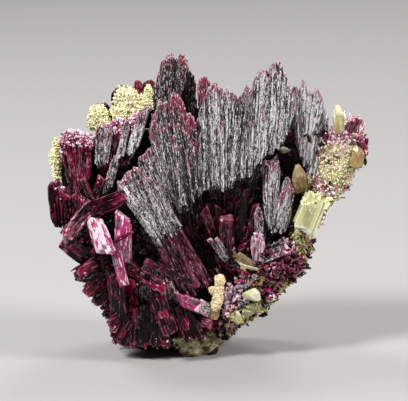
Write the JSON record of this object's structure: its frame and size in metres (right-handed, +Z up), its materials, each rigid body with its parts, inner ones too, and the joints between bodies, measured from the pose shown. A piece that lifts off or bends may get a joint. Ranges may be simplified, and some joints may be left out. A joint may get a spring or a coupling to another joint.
{
  "type": "erythrite specimen",
  "caption": "Free-standing mineral specimen: striated blades of silvery plum erythrite fanning out of a dished piece of cream rock.",
  "frame": {"origin": "centre of the bounding box, at the level of the flat break that the specimen stands on", "axes": "+X to the right seen from the display side, -Y towards the viewer, +Z up"},
  "size_m": [0.0642, 0.0316, 0.0603],
  "materials": {
    "silvery_erythrite": "silvery striated faces with crimson edges",
    "wine_erythrite": "glassy, deep wine red",
    "pink_erythrite": "glassy, bright pink",
    "cream_crust": "dull, finely granular",
    "cream_rock": "dull broken rock with pink druse",
    "honey_calcite": "translucent, glassy"
  },
  "bodies": {
    "root": {"matrix": "cream_rock", "front_left_blade": "silvery_erythrite", "centre_fan": "silvery_erythrite", "left_centre_fan": "silvery_erythrite", "right_fan": "silvery_erythrite", "right_front_blades": "silvery_erythrite", "rear_tall_blade": "silvery_erythrite", "pink_tabular_crystal": "pink_erythrite", "purple_prism": "wine_erythrite", "upper_wine_prism": "wine_erythrite", "glassy_dark_crystal": "wine_erythrite", "long_wine_prism": "wine_erythrite", "steep_wine_prism": "wine_erythrite", "left_cup_bundle": "wine_erythrite", "left_upright_blades": "silvery_erythrite", "left_grey_lath": "silvery_erythrite", "left_dark_bundle": "wine_erythrite", "purple_pair": "wine_erythrite", "low_left_prism": "wine_erythrite", "lower_left_fan": "silvery_erythrite", "shell_plate": "silvery_erythrite", "bottom_prisms": "wine_erythrite", "magenta_crystal": "pink_erythrite", "magenta_wedge": "wine_erythrite", "bottom_plates": "wine_erythrite", "long_wine_lath": "wine_erythrite", "grey_ribbed_plate": "silvery_erythrite", "lilac_blades": "silvery_erythrite", "hollow_crystals": "wine_erythrite", "calcite_point": "honey_calcite", "calcite_block": "honey_calcite", "corner_wine_blades": "wine_erythrite", "amber_calcite": "honey_calcite", "cream_column": "honey_calcite", "cream_crust_top": "cream_crust", "cream_crust_left": "cream_crust", "rear_red_plates": "wine_erythrite", "rear_fans": "silvery_erythrite"}
  },
  "joints": []
}
